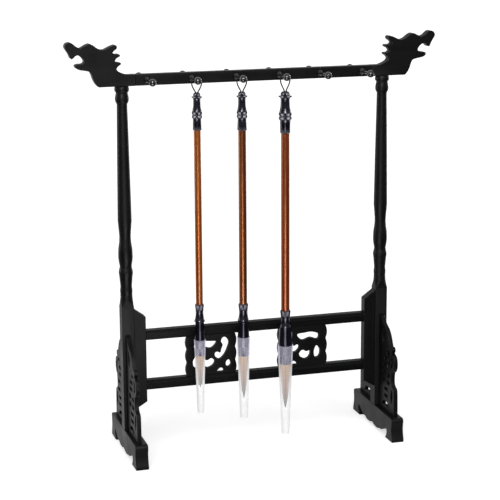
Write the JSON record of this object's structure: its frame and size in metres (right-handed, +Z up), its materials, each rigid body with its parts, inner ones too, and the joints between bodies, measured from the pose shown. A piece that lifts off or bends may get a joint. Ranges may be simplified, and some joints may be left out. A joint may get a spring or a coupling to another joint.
{
  "type": "chinese brush rack",
  "caption": "Free-standing brush rack of two turned posts, a pegged bar with dragon-head ends, carved feet and panels, with capped brushes hanging from loops.",
  "frame": {"origin": "on the table, midway between the posts and midway along the feet", "axes": "+X along the bar to the viewer's right, +Y to the back, +Z up; the brushes hang at the front, -Y"},
  "size_m": [0.3494, 0.1068, 0.3833],
  "materials": {
    "black_lacquer": "satin",
    "peg_gloss": "gloss",
    "dowel_wood": "raw",
    "horn": "gloss",
    "loop_cord": "matte",
    "brush_hair": "matte",
    "clear_cap": "clear",
    "small_handle_lacquer": "gloss",
    "medium_handle_lacquer": "gloss",
    "large_handle_lacquer": "gloss"
  },
  "bodies": {
    "rack": {"foot_left": "black_lacquer", "foot_right": "black_lacquer", "post_left": "black_lacquer", "post_right": "black_lacquer", "bracket_front_left": "black_lacquer", "bracket_back_left": "black_lacquer", "bracket_front_right": "black_lacquer", "bracket_back_right": "black_lacquer", "stile_left": "black_lacquer", "stile_right": "black_lacquer", "stile_dowels": "dowel_wood", "upper_rail": "black_lacquer", "lower_rail": "black_lacquer", "carved_panel_left": "black_lacquer", "carved_panel_right": "black_lacquer", "top_bar": "black_lacquer", "dragon_head_left": "black_lacquer", "dragon_head_right": "black_lacquer", "peg_front_1": "peg_gloss", "peg_front_2": "peg_gloss", "peg_front_3": "peg_gloss", "peg_front_4": "peg_gloss", "peg_front_5": "peg_gloss", "peg_front_6": "peg_gloss", "peg_back_1": "peg_gloss", "peg_back_2": "peg_gloss", "peg_back_3": "peg_gloss", "peg_back_4": "peg_gloss", "peg_back_5": "peg_gloss", "peg_back_6": "peg_gloss"},
    "small_brush": {"small_brush_loop": "loop_cord", "small_brush_finial": "horn", "small_brush_handle": "small_handle_lacquer", "small_brush_ferrule": "horn", "small_brush_tuft": "brush_hair", "small_brush_cap": "clear_cap"},
    "medium_brush": {"medium_brush_loop": "loop_cord", "medium_brush_finial": "horn", "medium_brush_handle": "medium_handle_lacquer", "medium_brush_ferrule": "horn", "medium_brush_tuft": "brush_hair", "medium_brush_cap": "clear_cap"},
    "large_brush": {"large_brush_loop": "loop_cord", "large_brush_finial": "horn", "large_brush_handle": "large_handle_lacquer", "large_brush_ferrule": "horn", "large_brush_tuft": "brush_hair", "large_brush_cap": "clear_cap"}
  },
  "joints": [
    {"name": "small_brush_swing", "type": "hinge", "parent": "rack", "child": "small_brush", "pos_m": [-0.0608, -0.0226, 0.3503], "axis": [-1, 0, 0], "range_deg": [-2.7, 45]},
    {"name": "medium_brush_swing", "type": "hinge", "parent": "rack", "child": "medium_brush", "pos_m": [-0.019, -0.0226, 0.3503], "axis": [-1, 0, 0], "range_deg": [-2.5, 45]},
    {"name": "large_brush_swing", "type": "hinge", "parent": "rack", "child": "large_brush", "pos_m": [0.0218, -0.0226, 0.3503], "axis": [-1, 0, 0], "range_deg": [-2.3, 45]}
  ]
}
